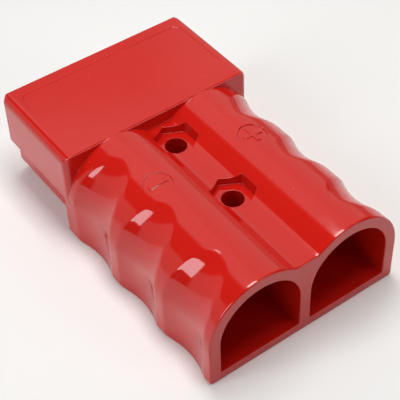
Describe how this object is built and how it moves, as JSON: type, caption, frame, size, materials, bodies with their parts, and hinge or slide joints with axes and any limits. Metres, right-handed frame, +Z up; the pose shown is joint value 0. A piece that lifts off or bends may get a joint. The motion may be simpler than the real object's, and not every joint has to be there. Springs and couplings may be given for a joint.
{
  "type": "genderless power connector",
  "caption": "Two-pole genderless battery connector with a hooded mating end, scalloped cable barrels, crimp contacts and leaf springs inside.",
  "frame": {"origin": "centre of the bounding box, on the flat underside", "axes": "+X across the width toward the positive pole, +Y toward the mating end, +Z up through the hood's roof"},
  "size_m": [0.07, 0.112, 0.034],
  "materials": {
    "housing_plastic": "glossy moulded red",
    "contact_metal": "silver-plated copper, satin",
    "spring_steel": "bright stainless strip"
  },
  "bodies": {
    "root": {"housing": "housing_plastic", "positive_contact": "contact_metal", "negative_contact": "contact_metal", "positive_leaf_spring": "spring_steel", "negative_leaf_spring": "spring_steel"}
  },
  "joints": []
}
